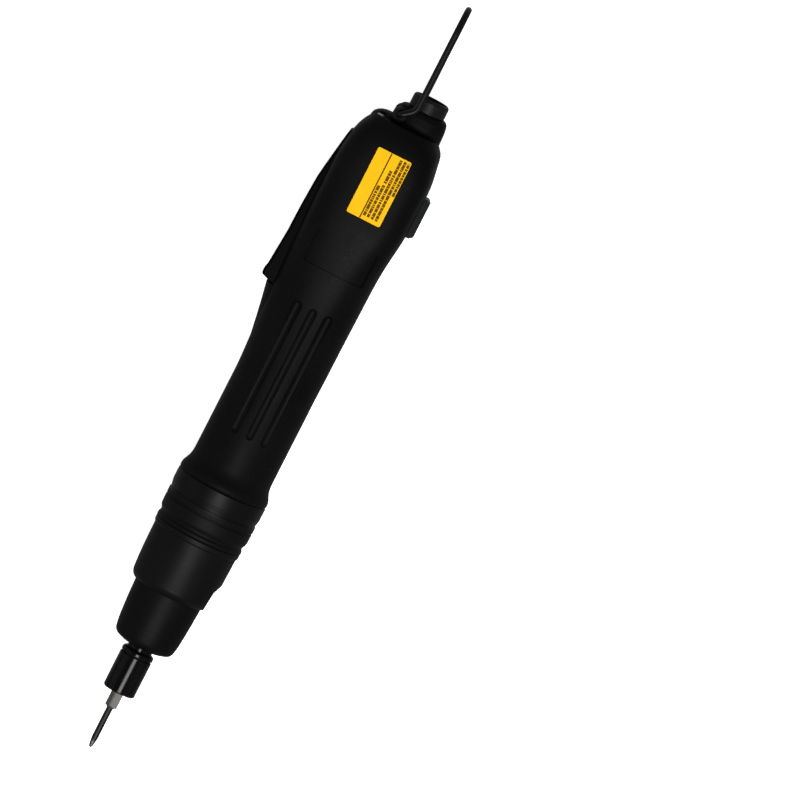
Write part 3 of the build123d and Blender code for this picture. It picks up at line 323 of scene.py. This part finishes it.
def board_laminate():
    s = Shader("board_laminate")
    weave = s.cells(900)
    tracks = s.ramp(s.noise(1.0, 1, 0.4, vector=s.scaled((260, 900, 260))), 0.5, 0.53)
    color = s.mix(tracks, rgb(0.006, 0.06, 0.02), rgb(0.012, 0.12, 0.04))
    return s.set(color=color, rough=s.ramp(weave, 0, 1, 0.28, 0.42), spec=0.5, normal=s.bump(weave, 0.15, 0.00004))


def insulation():
    s = Shader("wire_insulation")
    skin = s.noise(1500, 3, 0.5)
    color = s.mix(skin, rgb(0.09, 0.010, 0.008), rgb(0.16, 0.018, 0.014))
    return s.set(color=color, rough=s.ramp(skin, 0.3, 0.7, 0.38, 0.5), spec=0.45, normal=s.bump(skin, 0.2, 0.00004))


def gilt():
    s = Shader("bush_bronze")
    pores = s.cells(2600)
    color = s.mix(s.ramp(pores, 0.1, 0.6), rgb(0.30, 0.18, 0.07), rgb(0.80, 0.55, 0.24))
    return s.set(color=color, rough=s.ramp(pores, 0, 1, 0.22, 0.38), metal=1.0, normal=s.bump(pores, 0.2, 0.00004))


MATS = {
    "housing_plastic": moulded("housing_plastic", (0.0016, 0.0016, 0.0017), (0.0034, 0.0034, 0.0036), 0.50, 0.040),
    "nose_plastic": satin_nose("nose_plastic", (0.0008, 0.0008, 0.0009), (0.0018, 0.0018, 0.0019), 0.52, 0.062),
    # the lever's moulding is coloured darker than the housing's: painted shade for the lever lying recessed beside the
    # housing
    "lever_plastic": moulded("lever_plastic", (0.0004, 0.0004, 0.0005), (0.0010, 0.0010, 0.0011), 0.50, 0.020, grain=2200, depth=0.00002),
    "blackened_steel": black_steel(),
    "bit_steel": bit_steel(),
    "screw_steel": steel("screw_steel", (0.34, 0.34, 0.35), (0.62, 0.62, 0.63), 0.30, (500, 500, 500), 0.2),
    "dark_screw_steel": steel("dark_screw_steel", (0.03, 0.03, 0.032), (0.08, 0.08, 0.085), 0.38, (500, 500, 500), 0.2),
    "spring_steel": steel("spring_steel", (0.28, 0.28, 0.30), (0.55, 0.55, 0.57), 0.30, (900, 900, 900), 0.2),
    "gear_steel": steel("gear_steel", (0.30, 0.30, 0.31), (0.55, 0.55, 0.56), 0.38, (900, 900, 900), 0.35, 0.25),
    "motor_steel": steel("motor_steel", (0.42, 0.42, 0.42), (0.66, 0.66, 0.65), 0.34, (60, 900, 900), 0.2),
    "magnet_iron": ferrite(),
    "copper_wire": wound_copper(),
    "bush_bronze": gilt(),
    "switch_plastic": moulded("switch_plastic", (0.010, 0.010, 0.012), (0.022, 0.022, 0.025), 0.5, 0.4, grain=2400, depth=0.00002),
    "plunger_plastic": moulded("plunger_plastic", (0.32, 0.012, 0.010), (0.45, 0.02, 0.018), 0.42, 0.4, grain=2400, depth=0.00002),
    "knob_plastic": knob_plastic(),
    "board_laminate": board_laminate(),
    "inlet_metal": moulded("inlet_metal", (0.0022, 0.0022, 0.0024), (0.0050, 0.0050, 0.0053), 0.44, 0.13, grain=2600, depth=0.00002, strength=0.3),
    "bail_wire": wire_coat(),
    "label_film": label_film(),
    "wire_insulation": insulation(),
}
INK = label_ink()

slots = {p["node"]: p["material_slot"] for p in frame["record"]["subparts"]} if "subparts" in frame["record"] else {}


def dress(o, material):
    if not o.data.materials:
        o.data.materials.append(material)
    for i in range(len(o.data.materials)):
        o.data.materials[i] = material


# the collar and the cover are moulded a little glossier than the nut
OWN = {
    "gearbox_collar": collar_plastic(),
    "clutch_cover": satin_nose("cover_plastic", (0.0008, 0.0008, 0.0009), (0.0018, 0.0018, 0.0019), 0.50, 0.088),
}

for name, o in nodes.items():
    dress(o, OWN.get(name) or MATS[slots[name]])


# ---------------------------------------------------------------- plain print on the label
def bars(name, rows, z_low, z_high, material):
    """Flat printed bars: each row is (x0, x1, y0, y1) in stations and offsets, in mm."""
    bm = bmesh.new()
    for x0, x1, y0, y1 in rows:
        corners = [(x0, y0), (x1, y0), (x1, y1), (x0, y1)]
        low = [bm.verts.new(at(x, y, z_low)) for x, y in corners]
        high = [bm.verts.new(at(x, y, z_high)) for x, y in corners]
        bm.faces.new(list(reversed(low)))
        bm.faces.new(high)
        for i in range(4):
            j = (i + 1) % 4
            bm.faces.new((low[i], low[j], high[j], high[i]))
    bmesh.ops.recalc_face_normals(bm, faces=bm.faces)
    bmesh.ops.bevel(bm, geom=list(bm.edges), offset=0.000008, segments=1, affect="EDGES")
    mesh = bpy.data.meshes.new(name)
    bm.to_mesh(mesh)
    bm.free()
    mesh.materials.append(material)
    o = bpy.data.objects.new(name, mesh)
    scene.collection.objects.link(o)
    return o


LABEL_TOP = 19.15
ink_rows = [(241.95, 270.85, -0.12, 0.46)]
dash_rows = []


def dashes(y, x0, x1, height, seed):
    """A row of short unreadable marks of uneven length."""
    x, k = x0, seed
    while x < x1:
        k = (k * 37 + 11) % 101
        run = 0.5 + 1.9 * k / 101
        end = min(x + run, x1)
        if end - x > 0.3:
            dash_rows.append((x, end, y - height / 2, y + height / 2))
        x = end + 0.14 + 0.16 * (k % 5) / 4


dashes(-1.0, 243.6, 257.2, 1.2, 7)
dashes(-2.7, 243.6, 258.0, 1.2, 23)
dashes(-2.7, 258.8, 264.4, 1.3, 41)
dashes(-4.5, 243.6, 270.2, 1.2, 55)
dashes(-6.25, 243.6, 270.2, 1.2, 71)
dashes(-7.85, 255.4, 270.2, 1.1, 89)
divider = bars("label_divider", ink_rows, LABEL_TOP - 0.02, LABEL_TOP + 0.012, INK)
marks = bars("label_marks", dash_rows, LABEL_TOP - 0.02, LABEL_TOP + 0.012, INK)
for piece in (divider, marks):
    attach(piece, "housing")


# ---------------------------------------------------------------- floor and light
floor_mesh = bpy.data.meshes.new("floor")
bm = bmesh.new()
bmesh.ops.create_grid(bm, x_segments=8, y_segments=8, size=3.0)
bm.to_mesh(floor_mesh)
bm.free()
floor = bpy.data.objects.new("floor", floor_mesh)
scene.collection.objects.link(floor)
floor.location = (0, 0, cad_lo.z - 0.00005)
floor.visible_glossy = False      # no white sheen along the dark flanks
s = Shader("floor_paper")
fibre = s.noise(350, 3, 0.5)
paper = s.set(color=s.mix(fibre, rgb(0.90, 0.90, 0.90), rgb(0.93, 0.93, 0.93)), rough=0.9, spec=0.1)
s.bsdf.inputs["Emission Color"].default_value = rgb(1, 1, 1)
s.bsdf.inputs["Emission Strength"].default_value = 0.8
floor_mesh.materials.append(paper)

world = bpy.data.worlds.new("studio")
scene.world = world
world.use_nodes = True
world.node_tree.nodes["Background"].inputs["Color"].default_value = rgb(1, 1, 1)
world.node_tree.nodes["Background"].inputs["Strength"].default_value = 0.33


def panel(name, aim, lean_x, lean_y, distance, size, power, tint=(1, 1, 1)):
    """A square soft light that looks at aim from straight above, leant lean_x degrees along X and lean_y along Y."""
    away = Vector((math.tan(math.radians(lean_x)), math.tan(math.radians(lean_y)), 1)).normalized()
    data = bpy.data.lights.new(name, "AREA")
    data.shape = "RECTANGLE"
    data.size, data.size_y = size
    data.energy = power
    data.color = tint
    o = bpy.data.objects.new(name, data)
    scene.collection.objects.link(o)
    o.location = Vector(aim) + away * distance
    o.rotation_mode = "QUATERNION"
    o.rotation_quaternion = away.to_track_quat("Z", "Y")
    o.visible_camera = False
    return o


middle = at(150, 0, 0)
panel("key_panel", middle, -17, -8, 1.7, (0.55, 0.55), 28)
panel("side_panel", middle, -25, 62, 1.6, (1.2, 1.2), 2.5)
panel("other_side_panel", middle, -25, -60, 1.6, (1.2, 1.2), 1.5)


# ---------------------------------------------------------------- update the view layer
bpy.context.view_layer.update()
